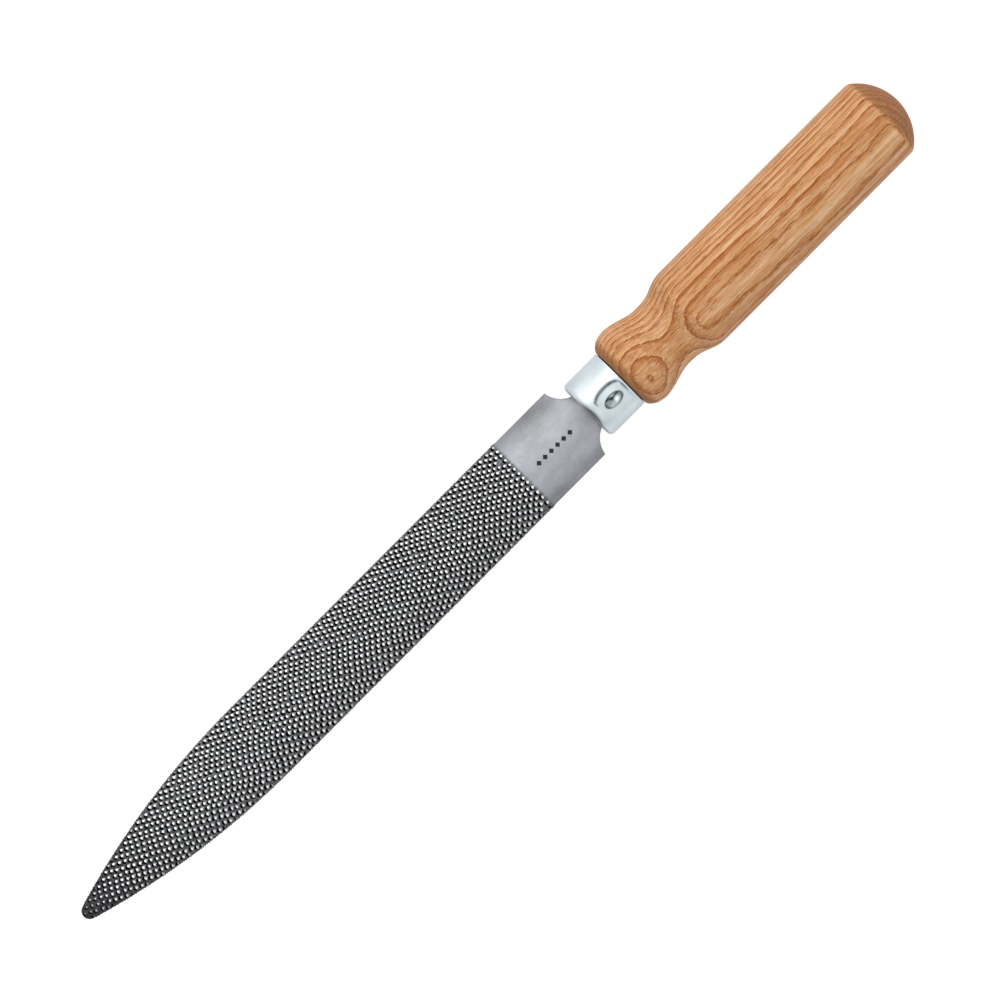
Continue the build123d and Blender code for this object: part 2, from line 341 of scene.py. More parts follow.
    # surfaces facing along the axis, the end grain, are coloured darker brown
    geo = m.add("ShaderNodeNewGeometry").outputs["Normal"]
    end = m.math("ABSOLUTE", m.vec("DOT_PRODUCT", geo, (1.0, 0.0, 0.0)))
    end = m.rng(end, 0.20, 0.75, 0.0, 0.92, smooth=True)
    dots = m.noise(m.stretched(p, 1.0, 2.4, 2.4), 1.0, 3.0, 0.7)
    brown = m.mix(0.78, col, (*srgb(134, 82, 44), 1))
    brown = m.mix(m.rng(dots, 0.5, 0.66, 0, 0.5), brown, (*srgb(108, 64, 34), 1))
    col = m.mix(end, col, brown)
    char = m.attr("char")
    col = m.mix(char, col, (*srgb(44, 30, 22), 1))
    rough = m.math("ADD", m.rng(fibre, 0.3, 0.7, 0.38, 0.48), m.math("MULTIPLY", pore, 0.22))
    rough = m.math("ADD", rough, m.math("MULTIPLY", end, 0.15), clamp=True)
    height = m.math("SUBTRACT", m.math("MULTIPLY", fine, 0.35), m.math("MULTIPLY", pore, 0.8))
    height = m.math("SUBTRACT", height, m.math("MULTIPLY", early, 0.5))
    normal = m.bump(height, 0.5, 0.00006)
    return m.principled(
        Base_Color=col, Roughness=rough, Normal=normal, Specular_IOR_Level=0.16,
        Coat_Weight=0.03, Coat_Roughness=0.25,
    )


# ------------------------------------------------------------------ the blade
def back_at(x):
    t = max(0.0, (BACK_X - x) / (BACK_X - TIP))
    return THICK - (THICK - TIP_H) * t * t, BACK_R - (BACK_R - TIP_BACK_R) * t * t


def round_z(x, y):
    height, r = back_at(x)
    return FLAT + height - r + math.sqrt(max(0.04, r * r - y * y))


def round_point(x, y, h):
    """A point h above the half-round back, measured square to it."""
    e = 0.02
    dx = (round_z(x + e, y) - round_z(x - e, y)) / (2 * e)
    dy = (round_z(x, y + e) - round_z(x, y - e)) / (2 * e)
    n = Vector((-dx, -dy, 1)).normalized()
    return Vector((x, y, round_z(x, y))) + n * h


def flat_point(x, y, h):
    return Vector((x, y, FLAT - h))


NECK_W = ARC_Y - math.sqrt(ARC_R**2 - (NECK - ARC_X) ** 2)
SHOULDER = ARC_X - math.sqrt(ARC_R**2 - (ARC_Y - HALF) ** 2)
RUN = TAPER - (TIP + TIP_R)
SIDE_R = (RUN**2 + HALF**2 - TIP_R**2) / (2 * (HALF - TIP_R))


def pitch_along(x):
    return 1.51 - 0.17 * (x - TIP) / (CUT_END - TIP)


ROWS = []
x = CUT_END - 0.45
while x > TIP + 0.7:
    ROWS.append(x)
    x -= pitch_along(x)


def half_outline():
    """(x, half width, bevel, top spike, bottom spike) from the neck to the point."""
    out = []
    a0 = math.atan2(NECK_W - ARC_Y, NECK - ARC_X)
    a1 = math.atan2(HALF - ARC_Y, SHOULDER - ARC_X)
    n = 24
    for i in range(n + 1):
        a = a0 + (a1 - a0) * i / n
        k = min(1.0, (n - i) / 3 + 0.4)
        out.append((ARC_X + ARC_R * math.cos(a), ARC_Y + ARC_R * math.sin(a), 0.34 * k, 0, 0))
    x = SHOULDER - 0.35
    while x > CUT_END + 0.4:
        out.append((x, HALF, 0.12, 0, 0))
        x -= 0.9
    cx, cy = TAPER, HALF - SIDE_R
    tip_cx = TIP + TIP_R
    ux, uy = (tip_cx - cx) / (SIDE_R - TIP_R), -cy / (SIDE_R - TIP_R)
    touch_x = cx + SIDE_R * ux
    for row in ROWS:
        p = pitch_along(row)
        for k, (at, top, low) in enumerate(((0, 1, 0), (0.2, -0.6, 0), (0.5, 0, 1), (0.7, 0, -0.6))):
            x = row - at * p + RNG.uniform(-0.05, 0.05)
            if x < touch_x + 0.25:
                continue
            w = HALF if x >= TAPER else cy + math.sqrt(SIDE_R**2 - (x - cx) ** 2)
            s = RNG.uniform(0.12, 0.30)
            out.append((x, w, 0.10, top * s, low * s))
    a0 = math.atan2(uy, ux)
    n = 9
    for i in range(n + 1):
        a = a0 + (math.pi - a0) * i / n
        s = 0.05 if i % 2 else -0.03
        out.append((tip_cx + TIP_R * math.cos(a), TIP_R * math.sin(a), 0.12, s, -s))
    return out


def full_outline():
    """Both halves as one run, from the neck's +Y corner round to its -Y one."""
    plus = half_outline()
    minus = half_outline()
    pts = [(x, w, b, t, s) for x, w, b, t, s in plus]
    pts[-1] = (pts[-1][0], 0.0) + pts[-1][2:]
    pts += [(x, -w, b, t, s) for x, w, b, t, s in reversed(minus[:-1])]
    out = []
    for i, (x, y, b, t, s) in enumerate(pts):
        xa, ya = pts[max(0, i - 1)][:2]
        xb, yb = pts[min(len(pts) - 1, i + 1)][:2]
        d = Vector((xb - xa, yb - ya)).normalized()
        n = Vector((d.y, -d.x))  # points out of the outline on this winding
        if i == 0 or i == len(pts) - 1:
            n = Vector((0.0, 1.0 if i == 0 else -1.0))
        out.append((Vector((x, y)), n, b, t, s))
    return out


def inside(faces, loop):
    """Keeps the triangles that the closed loop of verts fences in."""
    fence = {frozenset(e) for e in zip(loop, loop[1:] + loop[:1])}
    users = {}
    for k, f in enumerate(faces):
        for e in zip(f, f[1:] + f[:1]):
            users.setdefault(frozenset(e), []).append(k)
    out = {v[0] for e, v in users.items() if len(v) == 1 and e not in fence}
    todo = list(out)
    while todo:
        f = faces[todo.pop()]
        for e in zip(f, f[1:] + f[:1]):
            e = frozenset(e)
            if e not in fence:
                for k in users[e]:
                    if k not in out:
                        out.add(k)
                        todo.append(k)
    return [f for k, f in enumerate(faces) if k not in out]


# one punched tooth: u back along the blade, v across, height, tooth (painted highlight weight, partly the fresh
# bright steel of the tip), pit (painted shadow weight, partly the dark scale in the pit).
# The punch digs the pit on the point's side and turns up the tooth behind it.
TOOTH = [
    ("C0", 0.00, 0.00, 0.47, 1.0, 0.0), ("C1", 0.02, 0.26, 0.42, 1.0, 0.0),
    ("C2", 0.14, 0.45, 0.24, 0.66, 0.0), ("D", 0.38, 0.60, 0.00, 0.0, 0.0),
    ("A0", 0.42, 0.00, 0.45, 1.0, 0.0), ("A1", 0.38, 0.23, 0.36, 0.88, 0.0),
    ("R0", 0.86, 0.00, 0.29, 0.76, 0.0), ("R1", 0.74, 0.15, 0.18, 0.38, 0.0),
    ("S", 0.84, 0.37, 0.00, 0.0, 0.0), ("E", 1.22, 0.00, 0.00, 0.08, 0.0),
    ("P0", -0.09, 0.00, -0.32, 0.0, 1.0), ("P1", -0.07, 0.31, -0.30, 0.0, 1.0),
    ("P2", 0.04, 0.56, -0.18, 0.0, 1.0), ("M0", -0.58, 0.00, -0.25, 0.0, 1.0),
    ("M1", -0.44, 0.35, -0.21, 0.0, 1.0), ("Q0", -0.90, 0.00, 0.00, 0.0, 0.20),
    ("Q1", -0.74, 0.44, 0.00, 0.0, 0.20), ("Q2", -0.26, 0.66, 0.01, 0.0, 0.28),
    ("Q3", 0.16, 0.73, 0.00, 0.0, 0.14),
]
SKIP_ON_FLAT = {"A1", "M1", "Q3"}
CHAINS = [
    [("D", -1), ("C2", -1), ("C1", -1), ("C0", 0), ("C1", 1), ("C2", 1), ("D", 1)],
    [("P2", -1), ("P1", -1), ("P0", 0), ("P1", 1), ("P2", 1)],
]


def half_width(x):
    if x >= TAPER:
        return HALF
    cy = HALF - SIDE_R
    w = cy + math.sqrt(max(0.0, SIDE_R**2 - (x - TAPER) ** 2))
    dx = x - (TIP + TIP_R)
    if dx < 0:
        w = min(w, math.sqrt(max(0.0, TIP_R**2 - dx * dx)))
    return w


def lattice(flat):
    """(x, y, size, width, turn) of every tooth on one face.

    The teeth are stitched along slanting lines, one punch step after another. The
    steps keep their distance along a line, and each line's start wanders a little
    against the line before it."""
    out = []
    c = 0.017
    slant = 0.53 if flat else 0.445
    start = CUT_END - 0.45

    def place(x, t, wobble):
        if flat:
            y, pitch = t * 1.84, 1.84
        else:
            y = -(1.84 / c) * (math.exp(c * t) - 1)
            pitch = 1.84 - y * c
        x += RNG.gauss(0, 0.075) * wobble
        y += RNG.gauss(0, 0.065)
        size = RNG.uniform(0.88, 1.12)
        wide = (pitch / 1.87) ** 0.75 * RNG.uniform(0.92, 1.08)
        turn = RNG.gauss(0, 0.10)
        if x < TIP + 0.75 or abs(y) > half_width(x) - 0.05:
            return
        out.append((x, y, size, wide, turn))

    # the first row, square to the edge of the bare heel
    for i in range(-12, 13):
        place(start, i + 0.3, 0.4)
    phase, shift = 0.0, 0.0
    for line in range(-12, 84):
        if line > 4:
            shift = max(-0.5, min(0.6, shift + RNG.gauss(0.01, 0.13)))
        phase = (phase + shift + RNG.gauss(0, 0.04)) % 1.0
        t = line + 0.3 - (1.0 + phase) * slant
        x = start - (1.0 + phase) * pitch_along(start)
        drift = RNG.uniform(-0.05, 0.05)
        while x > TIP:
            if -13 < t < 12.6:
                place(x, t + drift + 0.05 * math.sin(x * 0.11 + line), 1.0)
            step = RNG.uniform(0.95, 1.05)
            x -= pitch_along(x) * step
            t -= slant * step
    return out


def sheet(bm, layers, edge, lift, teeth, flat):
    """Triangulates one face inside its edge and lifts it. Returns the edge's verts."""
    pts = [Vector(p) for p in edge]
    info = [(0.0, 0.0, 0.0)] * len(pts)
    lean = [(0.0, 0.0)] * len(pts)
    edges = []
    n = len(pts)
    skip = SKIP_ON_FLAT if flat else set()
    for x, y, size, wide, turn in teeth:
        ct, st = math.cos(turn), math.sin(turn)
        near_tip = 0.80 + 0.20 * min(1.0, (x - TIP) / 20.0)
        ids = {}
        for name, u, v, h, tooth, pit in TOOTH:
            if name in skip:
                continue
            for sign in (-1, 1) if v else (0,):
                uu = u * size * near_tip + RNG.uniform(-0.018, 0.018)
                vv = v * sign * wide * near_tip + RNG.uniform(-0.018, 0.018)
                px, py = x + uu * ct - vv * st, y + uu * st + vv * ct
                if px < TIP + 0.35 or abs(py) > half_width(px) - 0.20:
                    continue
                if px > NECK - 0.5:
                    continue
                ids[name, sign] = len(pts)
                pts.append(Vector((px, py)))
                # the painted highlight fades on teeth near the edges and towards the point
                highlight_falloff = min(1.0, max(0.12, (half_width(px) - abs(py) - 0.15) / 1.0))
                highlight_falloff *= min(1.0, 0.30 + 0.70 * (px - TIP) / 11.0)
                info.append((h * size * (1 + RNG.uniform(-0.06, 0.06)) * near_tip, tooth * highlight_falloff, pit))
                lean.append((-0.055 * size if name in ("C0", "C1") else 0.0, 0.0))
        for chain in CHAINS:
            got = [ids.get(k) for k in chain]
            edges += [(a, b) for a, b in zip(got, got[1:]) if a is not None and b is not None]
    # bare heel: an even net that carries the curve
    y = -HALF + 1.1
    rows = 0
    x = CUT_END + 1.15
    while x < NECK - 0.6:
        step = 1.25
        k = int((half_width(x) * 2) / step)
        for i in range(-k // 2, k // 2 + 1):
            yy = (i + 0.5 * (rows % 2)) * step
            w = HALF if x < SHOULDER else ARC_Y - math.sqrt(max(0.0, ARC_R**2 - (x - ARC_X) ** 2))
            if abs(yy) < w - 0.75 and not (flat is False and pip_near(x, yy, 1.25)):
                pts.append(Vector((x, yy)))
                info.append((0.0, 0.0, 0.0))
                lean.append((0.0, 0.0))
        rows += 1
        x += 1.45
    if not flat:
        for cx in PIPS:
            rings = []
            for half, h, pit in ((PIP_HALF, 0.0, 0.15), (PIP_HALF - 0.13, -0.20, 0.42)):
                ring = []
                for dx, dy in ((1, 0), (0.5, 0.5), (0, 1), (-0.5, 0.5), (-1, 0), (-0.5, -0.5), (0, -1), (0.5, -0.5)):
                    ring.append(len(pts))
                    pts.append(Vector((cx + dx * half, PIP_Y + dy * half)))
                    info.append((h, 0.0, pit))
                    lean.append((0.0, 0.0))
                rings.append(ring)
                edges += list(zip(ring, ring[1:] + ring[:1]))
    loop = list(range(n))
    edges = list(zip(loop, loop[1:] + loop[:1])) + edges
    verts, _, faces, orig, _, _ = delaunay_2d_cdt(pts, edges, [], 0, 1e-5, True)
    new_id = {k: i for i, src in enumerate(orig) for k in src}
    faces = inside([list(f) for f in faces], [new_id[k] for k in loop])
    made = []
    of_input = {}
    for i, (v, src) in enumerate(zip(verts, orig)):
        h, tooth, pit = info[src[0]] if src else (0.0, 0.3, 0.3)
        lx = lean[src[0]][0] if src else 0.0
        q = lift(v.x + lx, v.y, h)
        b = bm.verts.new(q)
        b[layers["tooth"]], b[layers["pit"]] = tooth, pit
        b[layers["heel"]] = min(1.0, max(0.0, (v.x - CUT_END - 0.25) / 0.5))
        made.append(b)
        for k in src:
            of_input[k] = b
    for f in faces:
        bm.faces.new([made[k] for k in (reversed(f) if flat else f)])
    return [of_input[k] for k in loop]


PIP_X0, PIP_PITCH, PIP_Y, PIP_HALF = TIP + 184.6, 2.5, -0.7, 0.92
PIPS = [PIP_X0 + i * PIP_PITCH for i in range(6)]


def pip_near(x, y, d):
    return abs(y - PIP_Y) < d and PIPS[0] - d < x < PIPS[-1] + d


def tang_section(x):
    """Half width and half height of the tang, as shares of the neck's."""
    stations = [(NECK, 1.0, 1.0), (TIP + 210.0, 5.45 / NECK_W, 2.75 / 3.5), (TANG_END, 2.2 / NECK_W, 1.40 / 3.5)]
    for (xa, wa, ha), (xb, wb, hb) in zip(stations, stations[1:]):
        if x <= xb or xb == TANG_END:
            t = (x - xa) / (xb - xa)
            return wa + (wb - wa) * t, ha + (hb - ha) * t


def build_blade(material):
    bm = bmesh.new()
    layers = {k: bm.verts.layers.float.new(k) for k in ("tooth", "pit", "heel", "tang")}
    rim = full_outline()
    cross = 9

    def face_edge():
        run = [p - n * b for p, n, b, _, _ in rim]
        run[0].x = run[-1].x = NECK
        y0 = run[0].y
        across = [Vector((NECK, -y0 + 2 * y0 * k / cross)) for k in range(1, cross)]
        return run + across

    top = sheet(bm, layers, face_edge(), round_point, lattice(False), False)
    low = sheet(bm, layers, face_edge(), flat_point, lattice(True), True)
    m = len(rim)

    def band(height, spike):
        out = []
        for i, (p, n, b, t, s) in enumerate(rim):
            q = p + n * (t if spike == "top" else s)
            v = bm.verts.new((q.x if 0 < i < m - 1 else NECK, q.y, height(p, b)))
            out.append(v)
        return out

    upper = band(lambda p, b: round_z(p.x, p.y) - b, "top")
    lower = band(lambda p, b: FLAT + min(b, 0.12), "low")
    for v in upper + lower:
        v[layers["heel"]] = min(1.0, max(0.0, (v.co.x - CUT_END - 0.25) / 0.5))
        v[layers["tooth"]] = 0.12 if v.co.x < CUT_END else 0.0

    def strip(a, b):
        for i in range(len(a) - 1):
            bm.faces.new((a[i], a[i + 1], b[i + 1], b[i]))

    strip(top[:m], upper)
    strip(upper, lower)
    strip(lower, low[:m])
    # tang: the neck's own section, drawn down in steps
    ring = top[m - 1 :] + [top[0]] + [upper[0], lower[0]] + [low[0]] + low[m:][::-1] + [low[m - 1], lower[-1], upper[-1]]
    seed = [(v.co.y, v.co.z) for v in ring]
    xs = [NECK + 1.2, NECK + 2.6, NECK + 4.2, TIP + 210.0, -66.0, -58.0, -50.0, -42.0, -34.0, -27.0, TANG_END - 0.8, TANG_END]
    for x in xs:
        w, h = tang_section(x)
        if x == TANG_END:
            w, h = w * 0.72, h * 0.66
        nxt = []
        for k, (y, z) in enumerate(seed):
            f = 1.0 + (0.012 * math.sin(k * 2.4 + x * 1.7) - 0.012 if x > NECK + 2 else 0.0)
            v = bm.verts.new((x, y * w * f, z * h * f))
            v[layers["tang"]] = min(1.0, max(0.0, (x - NECK - 0.8) / 2.5))
            v[layers["heel"]] = 1.0
            nxt.append(v)
        for i in range(len(ring)):
            j = (i + 1) % len(ring)
            bm.faces.new((ring[i], ring[j], nxt[j], nxt[i]))
        ring = nxt
    bm.faces.new(ring)
    bmesh.ops.triangulate(bm, faces=[f for f in bm.faces if len(f.verts) > 4])
    return new_object("blade_steel", bm, material, "blade_body", 40.0)


# ------------------------------------------------------------------ the ferrule
# Angles run from +Z towards -Y. The punch struck at this station and angle.
PUNCH_X = TIP + 212.6
PUNCH_PHI = math.radians(19.4)
DENT = 0.85
OVAL_A, OVAL_B = 3.15, 2.02
GAP = 0.2


def soft_step(v, a, b):
    t = min(1.0, max(0.0, (v - a) / (b - a)))
    return t * t * (3 - 2 * t)


def crease_arc(u):
    """How far round from the top, in mm, the dent's sharp side lies."""
    return -1.90 + 1.50 * abs(u / 4.8) ** 2.6


def oval(u, v):
    return (u / OVAL_A) ** 2 + (v / OVAL_B) ** 2


def pressed(x, phi):
    """How deep the skin is pressed in here, and how much painted shade the mark gets."""
    u = x - PUNCH_X
    arc = phi * FER_R
    if abs(u) > 6.2 or not -4.0 < arc < 12.0:
        return 0.0, 0.0
    # the die's flat: a sharp side towards +Y, running out to nothing round to -Y
    along = soft_step(u, -5.3, -2.3) * (1.0 - soft_step(u, 4.35, 5.05))
    off = arc - crease_arc(u)
    wall = soft_step(off, 0.0, 0.90)
    run = 1.0 - soft_step(arc, 0.5, 10.0)
    deep = DENT * along * wall * run
    deep += 0.10 * along * wall * soft_step(arc, 0.6, 2.4) * (1.0 - soft_step(arc, 5.2, 9.0))
    # painted shade along the dent's sharp crease
    thick = 0.58
    mark = math.exp(-(((off - 0.52) / thick) ** 2)) * soft_step(u, -5.15, -4.75) * (1 - soft_step(u, 4.0, 4.7))
    # the dent's two end walls, darkened with painted shade
    right = math.exp(-(((u - 4.80 - 0.04 * arc) / 0.24) ** 2)) * soft_step(arc, 0.4, 1.6) * (1 - soft_step(arc, 2.8, 4.4))
    left = math.exp(-(((u + 4.85) / 0.30) ** 2)) * soft_step(arc, -0.9, -0.2) * (1 - soft_step(arc, 0.7, 1.6))
    mark = max(0.86 * mark, 0.70 * right, 0.85 * left)
    # the punch's own hole: one oval struck twice
    v = arc - PUNCH_PHI * FER_R
    q = oval(u, v)
    if q < 1.0:
        hole = 0.45 * (1.0 - q) ** 0.55
        q1 = ((u - 0.98) / 2.02) ** 2 + ((v - 0.20) / 1.80) ** 2
        q2 = ((u + 1.25) / 1.75) ** 2 + ((v + 0.05) / 1.72) ** 2
        if q1 < 1.0:
            hole = max(hole, 1.30 * (1.0 - q1) ** 0.8)
        if q2 < 1.0:
            hole = max(hole, 0.85 * (1.0 - q2) ** 0.8)
        deep += hole

        def patch(pu, pv, ru, rv):
            return math.exp(-(((u - pu) / ru) ** 2) - ((v - pv) / rv) ** 2)

        def stroke(au, av, bu, bv, r):
            du, dv = bu - au, bv - av
            k = max(0.0, min(1.0, ((u - au) * du + (v - av) * dv) / (du * du + dv * dv)))
            d2 = (u - au - k * du) ** 2 + (v - av - k * dv) ** 2
            return math.exp(-d2 / (r * r))

        # painted shade and highlight inside the hole: a dark floor with darker strokes, and two pale spots where the
        # light falls
        hole_shade = 0.50 + 0.34 * soft_step(q, 0.60, 0.95) + 0.22 * patch(-1.4, 0.3, 0.9, 0.8)
        hole_shade += 0.75 * stroke(-1.6, -1.35, 0.05, -0.35, 0.50)
        hole_shade += 0.80 * stroke(0.05, -0.35, 2.1, -0.85, 0.42)
        hole_shade -= 1.25 * patch(0.85, 0.60, 0.74, 0.55) + 1.40 * patch(0.55, -1.05, 0.42, 0.34)
        mark = max(0.0, min(1.0, hole_shade))
    elif q < 1.7:
        deep -= 0.06 * math.sin(math.pi * (q - 1.0) / 0.7)
        # painted shade round the hole's outer rim
        rim = 0.80 if v > 0.2 or u < -1.9 else 0.40
        mark = max(mark, rim * (1.0 - soft_step(q, 1.0, 1.26)))
    return deep, mark


def mouth(x, phi):
    """How far back the front edge is drawn in over the neck."""
    back = 0.80 * math.exp(-(((phi - 0.24) / 0.42) ** 2))
    return back * (1.0 - soft_step(x, FER0 + 0.4, FER0 + 4.2))


def round_at(x, phi, r, outer=True):
    deep, _ = pressed(x, phi)
    r = r - deep
    return Vector((x + mouth(x, phi), -r * math.sin(phi), r * math.cos(phi)))


def slot_ray(phi, hw, hh, r):
    """Where the ray at this angle leaves a rounded rectangle in the YZ plane."""
    c, s = -math.sin(phi), math.cos(phi)
    lo, hi = 0.0, 20.0
    for _ in range(36):
        mid = (lo + hi) / 2
        qy, qz = abs(mid * c) - (hw - r), abs(mid * s) - (hh - r)
        d = math.hypot(max(qy, 0), max(qz, 0)) + min(max(qy, qz), 0.0) - r
        if d < 0:
            lo = mid
        else:
            hi = mid
    return lo * c, lo * s


def build_ferrule(material):
    bm = bmesh.new()
    # per-vertex weights of the painted shade in the press marks and at the mouth
    press_shade_layer = bm.verts.layers.float.new("mark")
    n = 160
    phis = [-math.pi + 2 * math.pi * i / n for i in range(n)]
    corner = 1.5
    x_a, x_b = FER0 + corner, FER1 - GAP - 0.22

    # the skin between the front corner and the rear rim, laid out as (x, arc)
    cols = phis + [math.pi]
    width = [p * FER_R for p in cols]
    steps = 30
    xs_seam = [x_a + (x_b - x_a) * i / steps for i in range(1, steps)]
    pts = [Vector((x_a, w)) for w in width] + [Vector((x, width[-1])) for x in xs_seam]
    pts += [Vector((x_b, w)) for w in reversed(width)] + [Vector((x, width[0])) for x in reversed(xs_seam)]
    nb = len(pts)
    edges = [(i, (i + 1) % nb) for i in range(nb)]
    v0 = PUNCH_PHI * FER_R

    def put(x, arc):
        if x_a + 0.10 < x < x_b - 0.07:
            pts.append(Vector((x, arc)))
            return True
        return False

    # the hole: rings to its rim, then a lip
    for rho in (0.0, 0.13, 0.26, 0.38, 0.5, 0.6, 0.69, 0.77, 0.84, 0.90, 0.95, 0.985, 1.02, 1.07, 1.13, 1.21, 1.31):
        k = 1 if rho == 0 else max(10, int(58 * min(1.0, 0.25 + rho)))
        first = len(pts)
        for i in range(k):
            a = 2 * math.pi * (i + 0.5 * (k % 2)) / k
            put(PUNCH_X + rho * OVAL_A * math.cos(a), v0 + rho * OVAL_B * math.sin(a))
    # the dent: rows that follow its sharp side
    rows = [-0.7, -0.45, -0.25, -0.1, 0.02, 0.12, 0.22, 0.32, 0.42, 0.52, 0.62, 0.72, 0.82, 0.95, 1.12]
    rows += [1.35 + 0.32 * i for i in range(26)]
    for k, off in enumerate(rows):
        u = -5.9 + 0.1 * (k % 2)
        while u < 5.9:
            arc = crease_arc(u) + off
            if oval(u, arc - v0) > 1.38**2 and arc < 9.8:
                put(PUNCH_X + u, arc)
            u += 0.13 if (4.2 < u < 5.2) else 0.24
    # the plain round
    for i in range(22):
        x = x_a + (x_b - x_a) * (i + 0.5) / 22
        for j in range(110):
            arc = -math.pi * FER_R + 2 * math.pi * FER_R * (j + 0.5 * (i % 2) + 0.25) / 110
            if crease_arc(x - PUNCH_X) - 0.9 < arc < 10.0 and abs(x - PUNCH_X) < 6.05:
                continue
            pts.append(Vector((x, arc)))
    verts, _, faces, orig, _, _ = delaunay_2d_cdt(pts, edges, [], 0, 1e-5, True)
    at = {k: i for i, src in enumerate(orig) for k in src}
    faces = inside([list(f) for f in faces], [at[k] for k in range(nb)])
    made = []
    for v in verts:
        phi = v.y / FER_R
        b = bm.verts.new(round_at(v.x, phi, FER_R))
        b[press_shade_layer] = pressed(v.x, phi)[1]
        made.append(b)
    for f in faces:
        bm.faces.new([made[k] for k in f])
    front = [made[at[i]] for i in range(n)]
    rear = [made[at[len(width) + len(xs_seam) + (n - i)]] for i in range(n)]

    def ring(f, marks=None):
        out = []
        for p in phis:
            v = bm.verts.new(f(p))
            if marks:
                v[press_shade_layer] = marks(p)
            out.append(v)
        return out

    def join(a, b):
        for i in range(n):
            j = (i + 1) % n
            bm.faces.new((a[i], a[j], b[j], b[i]))

    # painted shade on the front corner and mouth, where the neck darkens them
    def shade(p):
        return 0.75 * math.exp(-(((p - 0.20) / 0.46) ** 4))

    # front corner, flat front, hole
    last = front
    for k in range(1, 8):
        a = math.pi / 2 * k / 7
        x = FER0 + corner - corner * math.sin(a)
        r = FER_R - corner + corner * math.cos(a)
        nxt = ring(lambda p: round_at(x, p, r), lambda p: shade(p) * soft_step(k, 2.5, 4.5))
        join(last, nxt)
        last = nxt

    def slot_at(p, x, grow=0.0):
        y, z = slot_ray(p, 6.55 + grow, 3.75 + grow, 0.55)
        return Vector((x + mouth(x, p), y, z))

    r_in = FER_R - corner
    for t in (0.5, 0.85):
        nxt = ring(lambda p: round_at(FER0, p, r_in).lerp(slot_at(p, FER0), t), shade)
        join(last, nxt)
        last = nxt
    for x, g in ((FER0, 0.10), (FER0 + 0.10, 0.0), (FER0 + WALL - 0.1, 0.0), (FER0 + WALL, 0.10)):
        nxt = ring(lambda p: slot_at(p, x, g), shade)
        join(last, nxt)
        last = nxt
    # inside: front wall, inner corner, bore, out to the rear rim
    ri = FER_R - WALL
    for t in (0.5, 1.0):
        nxt = ring(lambda p: slot_at(p, FER0 + WALL, 0.1).lerp(round_at(FER0 + WALL, p, ri - 0.8), t))
        join(last, nxt)
        last = nxt
    for k in range(1, 4):
        a = math.pi / 2 * k / 3
        nxt = ring(lambda p: round_at(FER0 + WALL + 0.8 * (1 - math.cos(a)), p, ri - 0.8 + 0.8 * math.sin(a)))
        join(last, nxt)
        last = nxt
    inner = 40
    for k in range(1, inner + 1):
        x = FER0 + WALL + 0.8 + (x_b - FER0 - WALL - 0.8) * k / inner
        nxt = ring(lambda p: round_at(x, p, ri))
        join(last, nxt)
        last = nxt
    for x, r in ((FER1 - GAP, ri + 0.12), (FER1 - GAP, FER_R - 0.22), (FER1 - GAP - 0.06, FER_R - 0.07)):
        nxt = ring(lambda p: round_at(x, p, r))
        join(last, nxt)
        last = nxt
    join(last, rear)
    bmesh.ops.remove_doubles(bm, verts=bm.verts, dist=1e-5)
    return new_object("ferrule_cup", bm, material, "handle_body", 50.0)


# ------------------------------------------------------------------ the handle
NOSE = [
    (-66.5, 10.05), (-65.85, 11.10), (-64.55, 12.20), (-63.25, 12.78), (-61.5, 13.12),
    (-60.4, 13.17), (-58.9, 12.98), (-57.2, 12.62), (-55.0, 12.00), (-52.9, 11.40),
    (-50.8, 11.00), (-49.0, 10.92), (-47.0, 11.02), (-45.2, 11.32), (-43.4, 11.90),
    (-41.7, 12.62), (-40.3, 13.12), (-38.9, 13.42), (-37.3, 13.55),
]


def catmull(pts, per):
    """A smooth run through pts with `per` steps to each span."""
    out = []
    for i in range(len(pts) - 1):
        p0 = pts[max(0, i - 1)]
        p1, p2 = pts[i], pts[i + 1]
        p3 = pts[min(len(pts) - 1, i + 2)]
        for k in range(per):
            t = k / per
            a = [
                0.5 * (2 * b + (c - z) * t + (2 * z - 5 * b + 4 * c - d) * t * t + (-z + 3 * b - 3 * c + d) * t**3)
                for z, b, c, d in zip(p0, p1, p2, p3)
            ]
            out.append(tuple(a))
    out.append(pts[-1])
    return out


